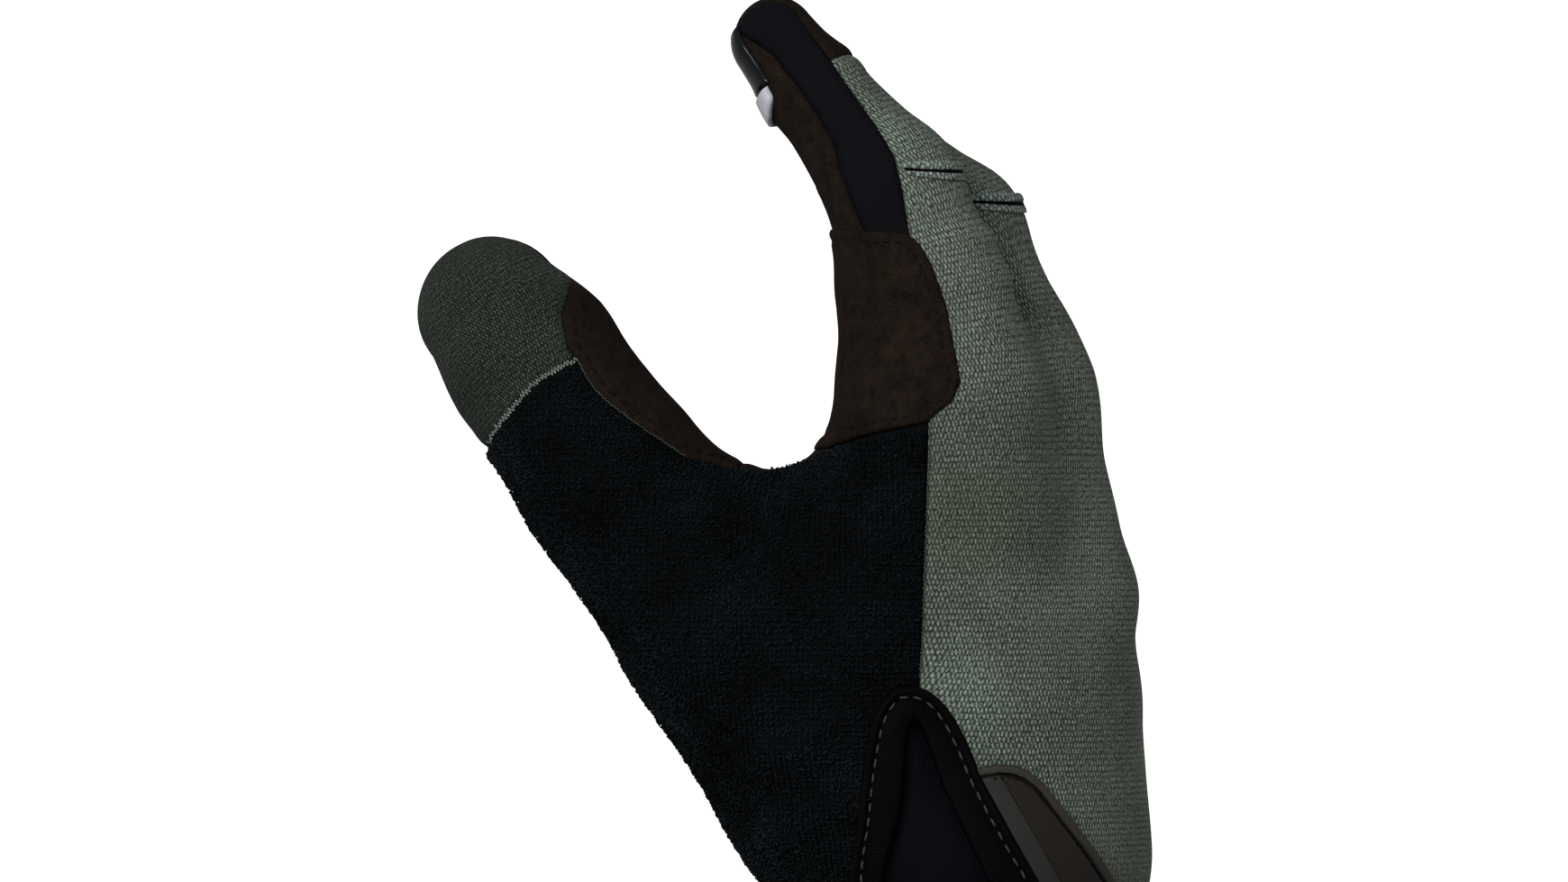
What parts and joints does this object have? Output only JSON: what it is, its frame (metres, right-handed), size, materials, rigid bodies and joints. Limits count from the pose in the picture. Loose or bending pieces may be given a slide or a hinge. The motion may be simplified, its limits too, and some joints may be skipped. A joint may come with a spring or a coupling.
{
  "type": "cycling glove",
  "caption": "Full-finger cycling glove for the right hand in its worn form, with knit back, suede palm, terry thumb side and a notched cuff with a tab.",
  "frame": {"origin": "centre of the wrist opening, level with the lower edge of the cuff", "axes": "+X the thumb side, +Y the back of the hand, +Z from the wrist opening towards the fingertips"},
  "size_m": [0.0979, 0.1229, 0.1821],
  "materials": {
    "knit": "matte olive knit",
    "suede": "napped synthetic suede",
    "terry": "looped pile",
    "stretch": "smooth stretch cloth",
    "rubber": "moulded, matt",
    "rim": "moulded, matt",
    "gloss": "gloss",
    "pale": "satin"
  },
  "bodies": {
    "root": {"back_panel": "knit", "palm_panel": "suede", "thumb_back": "knit", "thumb_front": "suede", "terry_panel": "terry", "index_side_strip": "stretch", "fourchette_index_middle": "stretch", "fourchette_middle_ring": "stretch", "fourchette_ring_little": "stretch", "little_side_strip": "stretch", "cuff_hem": "stretch", "notch_gusset": "stretch", "notch_hem": "stretch", "index_side_patch": "suede", "closure_tab_rim": "rim", "closure_tab": "rubber", "fingertip_pad": "gloss", "fingertip_pad_end": "pale", "knuckle_fold_index": "knit", "knuckle_fold_middle": "knit", "knuckle_fold_ring": "knit", "knuckle_fold_little": "knit"}
  },
  "joints": []
}
